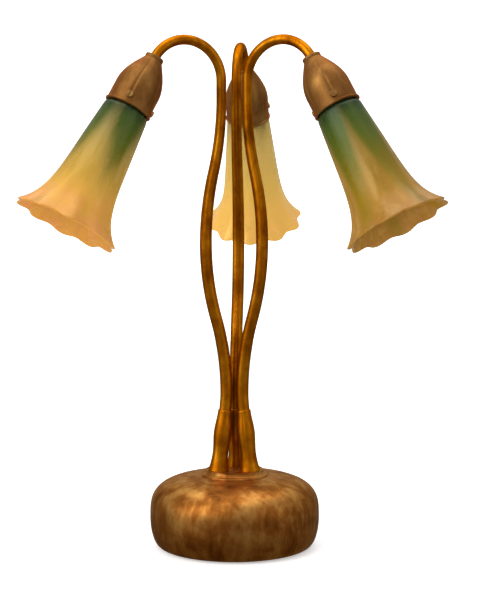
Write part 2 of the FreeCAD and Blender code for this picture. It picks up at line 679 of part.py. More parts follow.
def shade_screws():
    """Slotted screws through the husk that grip the shade's neck."""
    tip = SHADE_NECK_RADIUS
    head = HUSK_MOUTH_RADIUS
    top = head + SHADE_SCREW_HEAD
    screw = cylinder(SHADE_SCREW_RADIUS, tip, head)
    screw = screw.fuse(cylinder(SHADE_SCREW_HEAD_RADIUS, head, top)).removeSplitter()
    screw = screw.cut(slot(SHADE_SCREW_HEAD_RADIUS, SHADE_SCREW_HEAD / 2,
                           top - SHADE_SCREW_HEAD / 2))
    placed = across_head(screw, HUSK_MOUTH - SHADE_SCREW_SETBACK)
    return around(placed, SHADE_SCREWS)


def socket_cap_solid():
    """Metal cap screwed to the end of the tube, which carries the socket."""
    narrow = HUSK_NUT_WIDTH / math.sqrt(3) + CAP_WALL
    bore = TUBE_TIP_RADIUS + THREAD_CLEARANCE
    widen = CAP_TOP + CAP_HEIGHT * CAP_FUNNEL
    return turned_polygon([
        (bore, CAP_TOP), (narrow, CAP_TOP), (SOCKET_RADIUS, widen), (SOCKET_RADIUS, SOCKET_TOP),
        (SOCKET_RADIUS - CAP_WALL, SOCKET_TOP), (SOCKET_RADIUS - CAP_WALL, widen),
        (narrow - CAP_WALL / 2, CAP_TOP + CAP_WALL), (bore, CAP_TOP + CAP_WALL)])


def socket_solids():
    """Porcelain body, brass screw shell and centre contact."""
    body = cylinder(SOCKET_RADIUS, SOCKET_TOP, SOCKET_END)
    body = body.cut(cylinder(SHELL_RADIUS + FIT_CLEARANCE, SOCKET_SEAT, SOCKET_END))
    shell = ring(SHELL_RADIUS - SHELL_WALL, SHELL_RADIUS, SOCKET_SEAT, SOCKET_END)
    contact = cylinder(CONTACT_RADIUS, SOCKET_SEAT, SOCKET_SEAT + CONTACT_HEIGHT)
    return body, shell, contact


def bulb_side(wall):
    """The bulb's outline from neck to tip, or the one a wall's thickness inside it."""
    radius = BULB_RADIUS - wall
    full, centre = BULB_CAP_END + BULB_SWELL, BULB_CAP_END + BULB_LENGTH - BULB_RADIUS
    swell = [(BULB_NECK_RADIUS - wall
              + (BULB_RADIUS - BULB_NECK_RADIUS) * math.sin(math.radians(90 * t)),
              BULB_CAP_END + BULB_SWELL * t) for t in steps(8)]
    half = radius * math.sqrt(0.5)
    return [curve(swell), line((radius, full), (radius, centre)),
            arc((radius, centre), (half, centre + half), (0, centre + radius))]


def bulb_solids():
    """Screw cap, glass envelope, and the glass mount with its filament loop."""
    tip_end = BULB_SEAT + BULB_TIP_HEIGHT
    cap = turned_polygon([
        (0, BULB_SEAT), (BULB_TIP_RADIUS, BULB_SEAT), (BULB_TIP_RADIUS, tip_end),
        (BULB_CAP_RADIUS, tip_end + BULB_TIP_HEIGHT), (BULB_CAP_RADIUS, BULB_CAP_END),
        (0, BULB_CAP_END)])
    tip = BULB_CAP_END + BULB_LENGTH
    glass = turned([
        line((BULB_NECK_RADIUS - BULB_WALL, BULB_CAP_END), (BULB_NECK_RADIUS, BULB_CAP_END)),
        *bulb_side(0), line((0, tip), (0, tip - BULB_WALL)), *bulb_side(BULB_WALL)])
    mount = cylinder(MOUNT_RADIUS, BULB_CAP_END, BULB_CAP_END + MOUNT_LENGTH)
    loop = Part.makeTorus(FILAMENT_RADIUS, FILAMENT_WIRE, V(0, 0, 0), V(0, 1, 0))
    loop.translate(V(0, 0, BULB_CAP_END + MOUNT_LENGTH + FILAMENT_RADIUS))
    return cap, glass, mount.fuse(loop)


def shade_outline(t):
    """The shade's outer outline: t from 0 at the shoulder to 1 at the rim."""
    flare = SHADE_FLARE * max(t, 0.0) ** SHADE_FLARE_POWER
    return SHADE_SHOULDER_RADIUS + SHADE_TAPER * t + flare, SHADE_START + SHADE_LENGTH * t


def scallop_trim(low, high):
    """A prism whose wavy side trims the flared rim into petals."""
    count = 8 * SHADE_PETALS
    points = []
    for i in range(count):
        a = 2 * math.pi * i / count
        radius = SHADE_RIM_RADIUS - SHADE_WAVE * (1 - math.cos(SHADE_PETALS * a)) / 2
        points.append(V(radius * math.cos(a), radius * math.sin(a), low))
    edge = Part.BSplineCurve()
    edge.interpolate(points, PeriodicFlag=True)
    return Part.Face(Part.Wire(edge.toShape())).extrude(V(0, 0, high - low))


def shade_solid():
    """Blown glass shade: a lipped neck in the husk, a shoulder, and a flared, petalled rim."""
    neck, lip = SHADE_NECK_RADIUS, SHADE_LIP_RADIUS
    bore = neck - SHADE_WALL
    lip_end = SHADE_TOP + SHADE_LIP_HEIGHT
    past_rim = steps(20, 0.0, 1.05)
    outer = [shade_outline(t) for t in past_rim]
    inner = [inset(shade_outline, t, SHADE_WALL) for t in past_rim]
    shade = turned([
        line((bore, SHADE_TOP), (lip, SHADE_TOP)),
        line((lip, SHADE_TOP), (lip, lip_end)),
        line((lip, lip_end), (neck, lip_end + SHADE_LIP)),
        line((neck, lip_end + SHADE_LIP), (neck, HUSK_MOUTH)),
        curve([(neck, HUSK_MOUTH),
               ((neck + outer[0][0]) / 2 + SHADE_LIP, HUSK_MOUTH + SHADE_SHOULDER * 0.35),
               outer[0]]),
        curve(outer),
        line(outer[-1], inner[-1]),
        curve(inner),
        line(inner[0], (bore, HUSK_MOUTH + SHADE_CLEARANCE)),
        line((bore, HUSK_MOUTH + SHADE_CLEARANCE), (bore, SHADE_TOP))])
    return shade.common(scallop_trim(SHADE_TOP - 1, outer[-1][1] + SHADE_LENGTH))


def on_head(shape, azimuth):
    """Moves a shape built along a head's axis to the head of one stem."""
    return about_z(laid_along(shape, head_end(), 180 - HEAD_TILT), azimuth)


# --------------------------------------------------------------- back of the base
def inlet_solids():
    """Bush for the supply cord, with its flange outside and its nut inside the wall."""
    seat = -FITTING_WALL
    tail = seat - INLET_NUT_HEIGHT - INLET_TAIL
    bush = cylinder(INLET_RADIUS, tail, 0).fuse(
        cylinder(INLET_FLANGE_RADIUS, 0, INLET_FLANGE)).removeSplitter()
    rim = [e for e in bush.Edges if e.Closed and abs(e.CenterOfMass.z - INLET_FLANGE) < 1e-6]
    bush = bush.makeFillet(INLET_FLANGE * 0.4, rim)
    bush = bush.cut(cylinder(INLET_BORE, tail, INLET_FLANGE))
    nut = hex_nut(INLET_NUT_WIDTH, INLET_RADIUS + THREAD_CLEARANCE, seat - INLET_NUT_HEIGHT, seat)
    return bush, nut


def switch_solids():
    """Fixed parts of the rotary switch, then the turning shaft, rotor and paddle."""
    inside = -FITTING_WALL
    back = inside - SWITCH_BODY_LENGTH
    running = SWITCH_SHAFT_RADIUS + SWITCH_SHAFT_CLEARANCE
    bush = ring(running, SWITCH_BUSH_RADIUS, inside, SWITCH_BUSH_STICKOUT)
    ring_nut = ring(SWITCH_BUSH_RADIUS + THREAD_CLEARANCE, RING_NUT_RADIUS, 0, RING_NUT_HEIGHT)
    cavity = cylinder(SWITCH_BODY_RADIUS - SWITCH_BODY_WALL, back + SWITCH_BODY_WALL,
                      inside - SWITCH_BODY_WALL)
    body = cylinder(SWITCH_BODY_RADIUS, back, inside).cut(cavity)
    body = body.cut(cylinder(running, inside - SWITCH_BODY_WALL, inside))
    rotor_high = inside - SWITCH_BODY_WALL - ROTOR_GAP
    rotor_low = rotor_high - ROTOR_THICKNESS
    blade = Part.makeBox(2 * ROTOR_RADIUS, ROTOR_RADIUS / 2, ROTOR_THICKNESS,
                         V(-ROTOR_RADIUS, -ROTOR_RADIUS / 4, rotor_low))
    cross = blade.fuse(blade.copy().rotate(V(0, 0, 0), V(0, 0, 1), 90))
    rotor = cross.common(cylinder(ROTOR_RADIUS, rotor_low, rotor_high))
    rotor = rotor.fuse(cylinder(ROTOR_RADIUS / 2, rotor_low, rotor_high)).removeSplitter()
    rotor = rotor.cut(cylinder(SWITCH_SHAFT_RADIUS, rotor_low, rotor_high))
    hub_low = SWITCH_BUSH_STICKOUT + PADDLE_GAP
    hub_high = hub_low + PADDLE_HUB_LENGTH
    shaft = cylinder(SWITCH_SHAFT_RADIUS, rotor_low, hub_high - PADDLE_HUB_CAP)
    paddle = paddle_solid(hub_low, hub_high)
    return body, bush, ring_nut, shaft, rotor, paddle


def paddle_solid(low, high):
    """Flat oval key on a round hub, bored for the shaft."""
    oval = Part.Ellipse(V(0, 0, 0), PADDLE_LENGTH / 2, PADDLE_HEIGHT / 2).toShape()
    plate = Part.Face(Part.Wire(oval)).extrude(V(0, 0, PADDLE_THICKNESS))
    plate = plate.rotate(V(0, 0, 0), V(1, 0, 0), 90)
    plate.translate(V(0, PADDLE_THICKNESS / 2, high - PADDLE_HUB_CAP + PADDLE_HEIGHT / 2))
    paddle = plate.fuse(cylinder(PADDLE_HUB_RADIUS, low, high)).removeSplitter()
    return paddle.cut(cylinder(SWITCH_SHAFT_RADIUS, low, high - PADDLE_HUB_CAP))


def switch_leads():
    """Two short leads from the edge of the junction block to the back of the switch."""
    back = FITTING_FACE - FITTING_WALL - SWITCH_BODY_LENGTH
    leads = []
    for side in (-1, 1):
        lead = cylinder(LEAD_RADIUS, 0, back)
        lead = laid_along(lead, V(0, side * LEAD_SPACING / 2, BALLAST_TOP + 2 * LEAD_RADIUS), 90)
        block = cylinder(JUNCTION_RADIUS, 0, CROWN_HEIGHT)
        leads.append(about_z(lead.cut(block), SWITCH_AZIMUTH))
    return leads


# --------------------------------------------------------------------------- export
def build_base():
    plate, felt, plate_screws = underside()
    disc, ballast_screw, ballast_hole = ballast()
    for hole in around(ballast_hole, BALLAST_SCREWS):
        disc = disc.cut(hole)
        plate = plate.cut(hole)
    block, fixing, terminals = junction()
    export("base_shell", base_shell_solid())
    export("root_plate", root_plate_solid())
    export("base_plate", plate)
    export("felt_pad", felt)
    export("base_plate_screws", *plate_screws)
    export("ballast_disc", disc)
    export("ballast_screws", *around(ballast_screw, BALLAST_SCREWS))
    export("junction_block", block)
    export("junction_screw", fixing)
    export("terminal_screws", *terminals)


def build_stems():
    tube, wire, washer, nut = stem_solids()
    cup = root_cup_solid()
    for name, azimuth in STEM_AZIMUTHS.items():
        export("stem_" + name, about_z(tube, azimuth))
        export("stem_wire_" + name, about_z(wire, azimuth))
        export("root_cup_" + name, about_z(cup, azimuth))
    export("stem_washers", *[about_z(washer, a) for a in STEM_AZIMUTHS.values()])
    export("stem_locknuts", *[about_z(nut, a) for a in STEM_AZIMUTHS.values()])


def build_heads():
    husk = husk_solid()
    husk_nut = hex_nut(HUSK_NUT_WIDTH, TUBE_TIP_RADIUS + THREAD_CLEARANCE, HUSK_SEAT, CAP_TOP)
    cap = socket_cap_solid()
    body, shell, contact = socket_solids()
    bulb_cap, bulb_glass, bulb_mount = bulb_solids()
    shade = shade_solid()
    screws = shade_screws()
    for name, azimuth in STEM_AZIMUTHS.items():
        export("husk_" + name, on_head(husk, azimuth))
        export("socket_cap_" + name, on_head(cap, azimuth))
        export("socket_body_" + name, on_head(body, azimuth))
        export("socket_shell_" + name, on_head(shell, azimuth))
        export("bulb_cap_" + name, on_head(bulb_cap, azimuth))
        export("bulb_glass_" + name, on_head(bulb_glass, azimuth))
        export("shade_" + name, on_head(shade, azimuth))
        export("shade_screws_" + name, *[on_head(s, azimuth) for s in screws])
    everywhere = STEM_AZIMUTHS.values()
    export("husk_nuts", *[on_head(husk_nut, a) for a in everywhere])
    export("centre_contacts", *[on_head(contact, a) for a in everywhere])
    export("bulb_mounts", *[on_head(bulb_mount, a) for a in everywhere])


def build_back():
    bush, nut = inlet_solids()
    export("cord_bush", from_the_back(bush, INLET_AZIMUTH))
    export("cord_bush_nut", from_the_back(nut, INLET_AZIMUTH))
    names = ("switch_body", "switch_bush", "switch_ring_nut",
             "switch_shaft", "switch_rotor", "switch_paddle")
    for name, shape in zip(names, switch_solids()):
        export(name, from_the_back(shape, SWITCH_AZIMUTH))
    export("switch_leads", *switch_leads())


def main():
    os.makedirs("parts", exist_ok=True)
    build_base()
    build_stems()
    build_heads()
    build_back()


main()
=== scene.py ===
"""Looks for the table lamp with three tulip shades.

Shapes are written in millimetres in the frame of the CAD model and stored in metres.
A stem and its head are shaped once in a plane and turned to their places. A head's own
coordinates are x and y across its axis and s along it, from the end of the tube's bend.
"""

import math

import bmesh
import bpy
import numpy as np
from mathutils import Matrix, Vector


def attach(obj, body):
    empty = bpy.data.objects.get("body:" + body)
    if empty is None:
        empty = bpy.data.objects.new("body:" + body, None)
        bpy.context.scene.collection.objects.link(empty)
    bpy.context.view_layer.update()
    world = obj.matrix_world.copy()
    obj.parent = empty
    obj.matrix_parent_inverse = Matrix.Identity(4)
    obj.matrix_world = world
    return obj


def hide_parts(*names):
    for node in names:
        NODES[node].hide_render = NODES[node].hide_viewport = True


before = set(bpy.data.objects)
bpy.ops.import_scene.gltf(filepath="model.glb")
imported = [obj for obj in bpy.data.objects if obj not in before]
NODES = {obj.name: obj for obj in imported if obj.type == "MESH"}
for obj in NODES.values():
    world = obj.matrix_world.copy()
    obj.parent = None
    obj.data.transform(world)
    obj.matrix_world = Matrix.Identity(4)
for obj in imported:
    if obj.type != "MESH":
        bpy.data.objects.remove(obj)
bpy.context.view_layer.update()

MM = 0.001
AZIMUTHS = {"left": 207.0, "right": 329.0, "rear": 83.0}    # of the arms, round the stems' axis
INLET_AZIMUTH, SWITCH_AZIMUTH = 74.0, 106.0
FITTING_FACE, FITTING_HEIGHT = 62.4, 19.0   # of the flat spots for inlet and switch
BODY, KEY_BODY = "lamp", "switch_key"

HEAD_ORIGIN, HEAD_LEAN = (65.115, 0.0, 366.0), 150.0        # a tube's last bend ends here, heading down
ROOT_TOP, ROOT_LEAN = 59.0, 7.0
ROOT_BEND = (7.6708, 107.0318)              # distance from the middle and height where the root's bend starts
TUBE_RADIUS, TUBE_TIP_RADIUS, TUBE_BORE = 4.57, 3.72, 2.7


# ------------------------------------------------------------------------------ places
def about_z(azimuth):
    return Matrix.Rotation(math.radians(azimuth), 4, "Z")


def head_place(azimuth):
    """From a head's own millimetres to the lamp's millimetres."""
    lean = Matrix.Rotation(math.radians(HEAD_LEAN), 4, "Y")
    return about_z(azimuth) @ Matrix.Translation(HEAD_ORIGIN) @ lean


def root_place(azimuth):
    """From a root cup's own millimetres, with z = 0 on the root plate."""
    foot = ROOT_BEND[0] + math.tan(math.radians(ROOT_LEAN)) * (ROOT_BEND[1] - ROOT_TOP)
    lean = Matrix.Rotation(math.radians(-ROOT_LEAN), 4, "Y")
    return about_z(azimuth) @ Matrix.Translation((foot, 0.0, ROOT_TOP)) @ lean


def back_place(azimuth):
    """From millimetres outwards from the flat face of a fitting at the back of the base."""
    lean = Matrix.Rotation(math.radians(90), 4, "Y")
    return about_z(azimuth) @ Matrix.Translation((FITTING_FACE, 0.0, FITTING_HEIGHT)) @ lean


# ------------------------------------------------------------------------------ meshes
def make(name, rings, place=Matrix.Identity(4), loop=False, sharp=40.0):
    """A mesh through rings of points, shape (rings, points, 3), closed along the rings if loop."""
    rings = np.asarray(rings, float)
    count, around = rings.shape[:2]
    matrix = np.array(place)
    points = rings.reshape(-1, 3) @ matrix[:3, :3].T + matrix[:3, 3]
    rows = range(count if loop else count - 1)
    faces = [(i * around + j, i * around + (j + 1) % around,
              ((i + 1) % count) * around + (j + 1) % around, ((i + 1) % count) * around + j)
             for i in rows for j in range(around)]
    mesh = bpy.data.meshes.new(name)
    mesh.from_pydata((points * MM).tolist(), [], faces)
    work = bmesh.new()
    work.from_mesh(mesh)
    bmesh.ops.remove_doubles(work, verts=work.verts, dist=1e-6)
    bmesh.ops.dissolve_degenerate(work, edges=work.edges, dist=1e-7)
    bmesh.ops.recalc_face_normals(work, faces=work.faces)
    for face in work.faces:
        face.smooth = True
    work.to_mesh(mesh)
    work.free()
    mesh.set_sharp_from_angle(angle=math.radians(sharp))
    piece = bpy.data.objects.new(name, mesh)
    bpy.context.scene.collection.objects.link(piece)
    return piece


def ring_angles(around):
    return np.linspace(0, 2 * math.pi, around, endpoint=False)


def turned(outline, around=96, shape=None):
    """Rings of an outline of (r, z) points. shape(r, z, angle, i) may return other r and z."""
    angles = ring_angles(around)
    rings = []
    for i, (r, z) in enumerate(outline):
        radius, height = np.full(around, float(r)), np.full(around, float(z))
        if shape:
            radius, height = shape(radius, height, angles, i)
        rings.append(np.stack([radius * np.cos(angles), radius * np.sin(angles), height], 1))
    return np.array(rings)


def rounded(outline, radius, steps=4):
    """The outline of (r, z) points with each corner off the axis cut to a small arc."""
    result = []
    for i, point in enumerate(outline):
        here = Vector(point)
        before, after = Vector(outline[i - 1]), Vector(outline[(i + 1) % len(outline)])
        to_before, to_after = before - here, after - here
        reach = min(radius, to_before.length * 0.45, to_after.length * 0.45)
        on_axis = abs(here.x) < 1e-6
        if on_axis or reach < 1e-4:
            result.append(tuple(here))
            continue
        a, b = here + to_before.normalized() * reach, here + to_after.normalized() * reach
        for k in range(steps + 1):
            t = k / steps
            result.append(tuple(a * (1 - t) ** 2 + here * 2 * t * (1 - t) + b * t * t))
    return result


def eased(share):
    """0 to 1 as share goes from 0 to 1, level at both ends."""
    share = np.clip(share, 0.0, 1.0)
    return (1 - np.cos(math.pi * share)) / 2


def path_points(start, heading, moves, step=1.2):
    """Points and headings of a path in the XZ plane.

    A move is ("run", length) or ("arc", radius, turn in degrees)."""
    points, headings = [Vector(start)], [heading]
    for kind, size, *turn in moves:
        turn = math.radians(turn[0]) if turn else 0.0
        length = size if kind == "run" else abs(size * turn)
        count = max(1, math.ceil(length / step)) if kind == "arc" else max(1, math.ceil(length / 4))
        for _ in range(count):
            part, bend = length / count, turn / count
            chord = part if abs(bend) < 1e-12 else part * math.sin(bend / 2) / (bend / 2)
            middle = headings[-1] + bend / 2
            points.append(points[-1] + Vector((math.sin(middle), 0, math.cos(middle))) * chord)
            headings.append(headings[-1] + bend)
    return points, headings


def swept(points, headings, radius, around=32):
    """Rings of a round rod along a path in the XZ plane. radius may vary as radius(i)."""
    angles = ring_angles(around)
    rings = []
    for i, (point, heading) in enumerate(zip(points, headings)):
        across = np.array((math.cos(heading), 0.0, -math.sin(heading)))
        size = radius(i) if callable(radius) else radius
        rings.append(np.array(point) + size * (np.outer(np.cos(angles), across)
                                               + np.outer(np.sin(angles), (0.0, 1.0, 0.0))))
    return rings


def wear(piece, material, body=BODY, replaces=()):
    """Gives a piece its material and its body, and hides the nodes it stands for."""
    piece.data.materials.append(material)
    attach(piece, body)
    if replaces:
        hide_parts(*replaces)
    return piece


# -------------------------------------------------------------------- shader shorthand
class Shader:
    """A material's node tree with short ways to add nodes."""

    def __init__(self, name):
        self.material = bpy.data.materials.new(name)
        self.material.use_nodes = True
        self.tree = self.material.node_tree
        self.surface = self.tree.nodes["Principled BSDF"]

    def add(self, kind, inputs=None, **settings):
        node = self.tree.nodes.new("ShaderNode" + kind)
        for key, value in settings.items():
            setattr(node, key, value)
        for key, value in (inputs or {}).items():
            self.put(node.inputs[key], value)
        return node

    def put(self, socket, value):
        if isinstance(value, bpy.types.NodeSocket):
            self.tree.links.new(value, socket)
        else:
            socket.default_value = value

    def set(self, **inputs):
        for key, value in inputs.items():
            self.put(self.surface.inputs[key.replace("_", " ")], value)

    def place(self):
        return self.add("TexCoord").outputs["Object"]

    def local(self, azimuth):
        """Coordinates of a head, in metres: x and y across its axis, z along it."""
        matrix = head_place(azimuth)
        origin = matrix.translation * MM
        return self.add("Mapping", {"Vector": self.place(), "Location": origin,
                                    "Rotation": matrix.to_euler()}, vector_type="TEXTURE").outputs[0]

    def scaled(self, vector, scale):
        return self.add("Mapping", {"Vector": vector, "Scale": scale}).outputs[0]

    def noise(self, vector, scale, detail=3.0, roughness=0.5, distortion=0.0):
        return self.add("TexNoise", {"Vector": vector, "Scale": scale, "Detail": detail,
                                     "Roughness": roughness, "Distortion": distortion}).outputs["Fac"]

    def math(self, operation, a, b=0.0, c=0.0):
        return self.add("Math", {0: a, 1: b, 2: c}, operation=operation).outputs[0]

    def between(self, value, low, high, start=0.0, end=1.0, smooth=True):
        """value taken from low..high to start..end, held at the ends."""
        kind = "SMOOTHSTEP" if smooth else "LINEAR"
        return self.add("MapRange", {"Value": value, "From Min": low, "From Max": high,
                                     "To Min": start, "To Max": end},
                        interpolation_type=kind).outputs["Result"]

    def split(self, vector):
        return self.add("SeparateXYZ", {0: vector}).outputs

    def ramp(self, value, *stops):
        node = self.add("ValToRGB", {"Fac": value})
        elements = node.color_ramp.elements
        while len(elements) < len(stops):
            elements.new(0.5)
        for element, (position, color) in zip(elements, stops):
            element.position = position
            element.color = (*color, 1.0)
        return node.outputs["Color"]

    def mix(self, share, a, b, blend="MIX"):
        node = self.add("Mix", data_type="RGBA", blend_type=blend)
        sockets = [s for s in node.inputs if s.enabled]
        for socket, value in zip(sockets, (share, a, b)):
            if isinstance(value, tuple):
                value = (*value, 1.0)
            self.put(socket, value)
        return [s for s in node.outputs if s.enabled][0]

    def bump(self, height, distance, strength=1.0):
        return self.add("Bump", {"Height": height, "Distance": distance * MM,
                                 "Strength": strength}).outputs["Normal"]


def srgb(r, g, b):
    """A colour given as 0 to 255, as the linear colour a shader takes."""
    def linear(v):
        v /= 255.0
        return v / 12.92 if v <= 0.04045 else ((v + 0.055) / 1.055) ** 2.4
    return tuple(linear(v) for v in (r, g, b))


# --------------------------------------------------------------------------- materials
def bronze(name, light, middle, dark, roughness, metal, rim, foot=None, painted_edge_shade=None):
    """Aged gilt bronze: rubbed gold over brown, darker in blotches, with a cast grain.

    rim tints its gloss. foot, as (low, high, shade), is painted shade: it darkens the colour more and more
    from the height high down to the height low, in millimetres.
    edge is painted shade and reflection: a colour that it turns to where its surface turns away from view."""
    s = Shader(name)
    place = s.place()
    blotch = s.noise(place, 42.0, 4.0, 0.55, 0.6)
    rub = s.noise(s.scaled(place, (1.0, 1.0, 0.45)), 120.0, 5.0, 0.6, 0.3)
    grain = s.noise(place, 1400.0, 3.0, 0.6)
    tone = s.math("MULTIPLY_ADD", rub, 0.5, s.math("MULTIPLY", blotch, 0.5))
    color = s.ramp(tone, (0.32, dark), (0.48, middle), (0.66, light))
    color = s.mix(s.between(grain, 0.62, 0.72, 0.0, 0.35), color, dark)
    # painted shade and reflection: the colour turns darker and redder where the surface turns away from view
    if painted_edge_shade:
        facing = s.add("LayerWeight", {"Blend": 0.35}).outputs["Facing"]
        color = s.mix(s.between(facing, 0.25, 0.85, 0.0, 0.75), color, painted_edge_shade)
    # painted shade: darker towards the bottom, where the base meets the table
    if foot:
        low, high, shade = foot
        color = s.mix(s.between(s.split(place)["Z"], low * MM, high * MM, 1.0, 0.0), color, shade,
                      "MULTIPLY")
    rough = s.between(tone, 0.3, 0.7, roughness + 0.10, roughness - 0.06)
    height = s.math("MULTIPLY_ADD", grain, 0.35, s.math("MULTIPLY", rub, 0.8))
    s.set(Base_Color=color, Metallic=metal, Roughness=rough, Normal=s.bump(height, 0.25, 0.5),
          Specular_Tint=(*rim, 1.0))
    return s.material


def opal_glass(name, azimuth, centre, tongues, reach, depth, wash, tint):
    """Lustred opal glass: green tongues from the neck over amber and gold.

    One tongue lies at centre (degrees round the head's axis). The tongues end at about reach
    (millimetres along it) and differ by depth. wash is a colour laid over the body by tint."""
    s = Shader(name)
    local = s.local(azimuth)
    parts = s.split(local)
    x, y, along = (parts[k] for k in "XYZ")
    angle = s.math("ARCTAN2", y, x)
    streaks = s.noise(s.scaled(local, (1.0, 1.0, 0.14)), 210.0, 4.0, 0.55, 0.5)
    cloud = s.noise(s.scaled(local, (1.0, 1.0, 0.6)), 45.0, 3.0, 0.5, 0.4)
    wave = s.math("COSINE", s.math("MULTIPLY_ADD", angle, float(tongues),
                                   math.radians(-tongues * centre)))
    end = s.math("MULTIPLY_ADD", wave, depth * MM, reach * MM)
    end = s.math("MULTIPLY_ADD", s.math("SUBTRACT", streaks, 0.5), 50.0 * MM, end)
    past = s.math("SUBTRACT", along, end)
    green = s.between(past, -26.0 * MM, 20.0 * MM, 1.0, 0.0)
    level = s.math("MULTIPLY_ADD", s.math("SUBTRACT", cloud, 0.5), 24.0 * MM, along)
    body = s.ramp(s.between(level, 47.0 * MM, 139.0 * MM, 0.0, 1.0, smooth=False),
                  (0.00, srgb(104, 98, 56)), (0.25, srgb(152, 134, 72)),
                  (0.55, srgb(188, 150, 58)), (0.80, srgb(216, 162, 60)),
                  (1.00, srgb(212, 148, 62)))
    rose = s.between(s.noise(local, 70.0, 3.0, 0.5), 0.45, 0.62, 0.0, 0.35)
    rose = s.math("MULTIPLY", rose, s.between(along, 95.0 * MM, 132.0 * MM))
    body = s.mix(rose, body, srgb(224, 148, 96))
    body = s.mix(tint, body, wash)
    leaf = s.ramp(s.between(s.math("MULTIPLY_ADD", streaks, 16.0 * MM, along),
                            52.0 * MM, 120.0 * MM, 0.0, 1.0, smooth=False),
                  (0.00, srgb(30, 48, 22)), (0.14, srgb(60, 78, 24)),
                  (0.45, srgb(82, 90, 14)), (1.00, srgb(138, 108, 10)))
    body = s.mix(s.between(streaks, 0.35, 0.7, 0.0, 0.12), body, srgb(236, 194, 110))
    color = s.mix(green, body, leaf)
    rough = s.between(cloud, 0.3, 0.7, 0.24, 0.36)
    ripple = s.math("MULTIPLY_ADD", streaks, 0.7, s.math("MULTIPLY", cloud, 0.8))
    s.set(Base_Color=color, Roughness=rough, IOR=1.5, Metallic=0.12, Specular_IOR_Level=0.20,
          Coat_Weight=0.06, Coat_Roughness=0.15, Normal=s.bump(ripple, 0.4, 0.35),
          Subsurface_Weight=0.15, Subsurface_Radius=(0.006, 0.004, 0.002), Subsurface_Scale=1.0)
    return s.material


def simple(name, light, dark, scale, roughness, metallic=0.0, bump=0.1, stretch=(1.0, 1.0, 1.0),
           **more):
    """A plain material that varies between two colours, with its own grain."""
    s = Shader(name)
    place = s.scaled(s.place(), stretch)
    broad = s.noise(place, scale, 4.0, 0.55, 0.3)
    fine = s.noise(place, scale * 14.0, 3.0, 0.6)
    tone = s.math("MULTIPLY_ADD", fine, 0.4, s.math("MULTIPLY", broad, 0.6))
    color = s.ramp(tone, (0.34, dark), (0.66, light))
    rough = s.between(tone, 0.3, 0.7, roughness + 0.07, roughness - 0.05)
    s.set(Base_Color=color, Roughness=rough, Metallic=metallic,
          Normal=s.bump(tone, bump, 0.5), **more)
    return s.material


M = {       # the materials
    # the base's foot setting is painted shade, darker towards the table
    "base": bronze("base_bronze", srgb(212, 158, 84), srgb(162, 100, 40), srgb(98, 54, 18), 0.42, 1.0,
                   (0.92, 0.78, 0.58), foot=(0.0, 54.0, (0.64, 0.50, 0.32))),
    # the stems' and husks' silhouette colours below are painted shade and reflection at their turned-away
    # sides
    "stem": bronze("stem_bronze", srgb(220, 142, 24), srgb(174, 98, 6), srgb(116, 58, 2), 0.38, 1.0,
                   (0.80, 0.52, 0.20), painted_edge_shade=srgb(140, 72, 8)),
    "husk": bronze("husk_copper", srgb(152, 108, 54), srgb(128, 84, 38), srgb(96, 56, 24), 0.44, 0.75,
                   (0.85, 0.60, 0.36), painted_edge_shade=srgb(172, 88, 40)),
    "brass": simple("brass_bright", srgb(222, 190, 118), srgb(184, 146, 76), 90.0, 0.28, 1.0, 0.05),
    "aged": simple("brass_screw", srgb(196, 148, 82), srgb(120, 80, 36), 110.0, 0.34, 1.0, 0.08),
    "porcelain": simple("porcelain", srgb(240, 238, 230), srgb(226, 222, 210), 60.0, 0.16, 0.0,
                        0.05, Coat_Weight=0.6, Coat_Roughness=0.05),
    "felt": simple("felt", srgb(58, 78, 58), srgb(30, 44, 32), 900.0, 0.9, 0.0, 0.4),
    "steel": simple("steel", srgb(196, 196, 192), srgb(150, 150, 146), 140.0, 0.38, 1.0, 0.05,
                    (1.0, 1.0, 0.2)),
    "iron": simple("iron", srgb(92, 90, 88), srgb(48, 46, 44), 160.0, 0.62, 0.7, 0.5),
    "black": simple("moulded_black", srgb(34, 32, 30), srgb(16, 15, 14), 80.0, 0.24, 0.0, 0.04),
}


def wire_cover():
    """Brown cotton braid: two sets of fine diagonal threads."""
    s = Shader("wire_cover")
    place = s.place()
    across = s.add("TexWave", {"Vector": s.scaled(place, (1.0, 1.0, 1.0)), "Scale": 420.0,
                               "Distortion": 0.4, "Detail": 1.0}, bands_direction="DIAGONAL")
    back = s.add("TexWave", {"Vector": s.scaled(place, (-1.0, 1.0, 1.0)), "Scale": 420.0,
                             "Distortion": 0.4, "Detail": 1.0}, bands_direction="DIAGONAL")
    weave = s.math("MULTIPLY", across.outputs["Fac"], back.outputs["Fac"])
    s.set(Base_Color=s.ramp(weave, (0.1, srgb(52, 38, 26)), (0.7, srgb(112, 86, 58))),
          Roughness=s.between(weave, 0.0, 1.0, 0.9, 0.75), Normal=s.bump(weave, 0.3, 0.6))
    return s.material


def clear_glass():
    s = Shader("bulb_glass")
    ripple = s.noise(s.place(), 60.0, 2.0, 0.4)
    s.set(Base_Color=(0.97, 0.96, 0.93, 1.0), Roughness=s.between(ripple, 0.3, 0.7, 0.01, 0.05),
          IOR=1.5, Transmission_Weight=1.0, Normal=s.bump(ripple, 0.2, 0.3))
    return s.material


M["wire"] = wire_cover()
M["bulb"] = clear_glass()
OLIVE, STRAW = srgb(118, 84, 8), srgb(252, 206, 104)
SHADE_LOOKS = {     # centre and number of the tongues, reach, depth, wash, tint
    "left": (86.0, 4, 76.0, 20.0, OLIVE, 0.12),
    "right": (-80.0, 5, 104.0, 38.0, OLIVE, 0.70),
    "rear": (-44.0, 4, 40.0, 6.0, STRAW, 0.45),
}
for side, look in SHADE_LOOKS.items():
    M["shade_" + side] = opal_glass("shade_glass_" + side, AZIMUTHS[side], *look)

# ------------------------------------------------------------------------ CAD nodes kept
def on_each_arm(*names):
    return [f"{name}_{side}" for name in names for side in AZIMUTHS]


